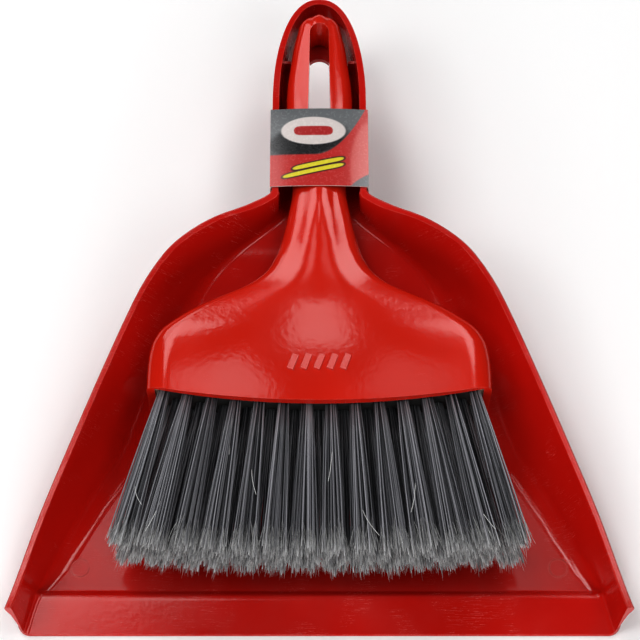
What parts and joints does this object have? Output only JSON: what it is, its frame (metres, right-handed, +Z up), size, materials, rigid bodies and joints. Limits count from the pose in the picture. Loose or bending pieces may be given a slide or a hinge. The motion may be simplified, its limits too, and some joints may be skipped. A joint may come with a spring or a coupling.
{
  "type": "dust pan and brush set",
  "caption": "Hand dust pan with a ramped lip and a hollow handle; a fan-shaped hand brush lies in it, held by a printed card sleeve round both handles.",
  "frame": {"origin": "on the floor, at the middle of the set's length and width", "axes": "+Z up; the pan's mouth faces -Y and both handles point to +Y; +X to the right as seen from the mouth"},
  "size_m": [0.254, 0.2772, 0.0629],
  "materials": {
    "pan_plastic": "glossy red polypropylene",
    "brush_plastic": "glossy red polypropylene",
    "block_plastic": "matt beige plastic",
    "bristle": "dark grey filaments with pale flagged tips",
    "staple_wire": "flat steel wire",
    "printed_card": "coated printed card"
  },
  "bodies": {
    "pan": {"dustpan": "pan_plastic"},
    "brush": {"broom_shell": "brush_plastic", "bristle_block": "block_plastic", "tuft_staples": "staple_wire", "tuft_top_01": "bristle", "tuft_top_02": "bristle", "tuft_top_03": "bristle", "tuft_top_04": "bristle", "tuft_top_05": "bristle", "tuft_top_06": "bristle", "tuft_top_07": "bristle", "tuft_top_08": "bristle", "tuft_top_09": "bristle", "tuft_top_10": "bristle", "tuft_top_11": "bristle", "tuft_top_12": "bristle", "tuft_top_13": "bristle", "tuft_top_14": "bristle", "tuft_middle_01": "bristle", "tuft_middle_02": "bristle", "tuft_middle_03": "bristle", "tuft_middle_04": "bristle", "tuft_middle_05": "bristle", "tuft_middle_06": "bristle", "tuft_middle_07": "bristle", "tuft_middle_08": "bristle", "tuft_middle_09": "bristle", "tuft_middle_10": "bristle", "tuft_middle_11": "bristle", "tuft_middle_12": "bristle", "tuft_middle_13": "bristle", "tuft_low_01": "bristle", "tuft_low_02": "bristle", "tuft_low_03": "bristle", "tuft_low_04": "bristle", "tuft_low_05": "bristle", "tuft_low_06": "bristle", "tuft_low_07": "bristle", "tuft_low_08": "bristle", "tuft_low_09": "bristle", "tuft_low_10": "bristle", "tuft_low_11": "bristle", "tuft_low_12": "bristle", "tuft_low_13": "bristle", "tuft_low_14": "bristle"},
    "sleeve": {"card_sleeve": "printed_card"}
  },
  "joints": [
    {"name": "brush_out", "type": "slide", "parent": "pan", "child": "brush", "axis": [0, -1, 0], "range_m": [0, 0.27]},
    {"name": "sleeve_off", "type": "slide", "parent": "pan", "child": "sleeve", "axis": [0, 1, 0], "range_m": [0, 0.105]}
  ]
}
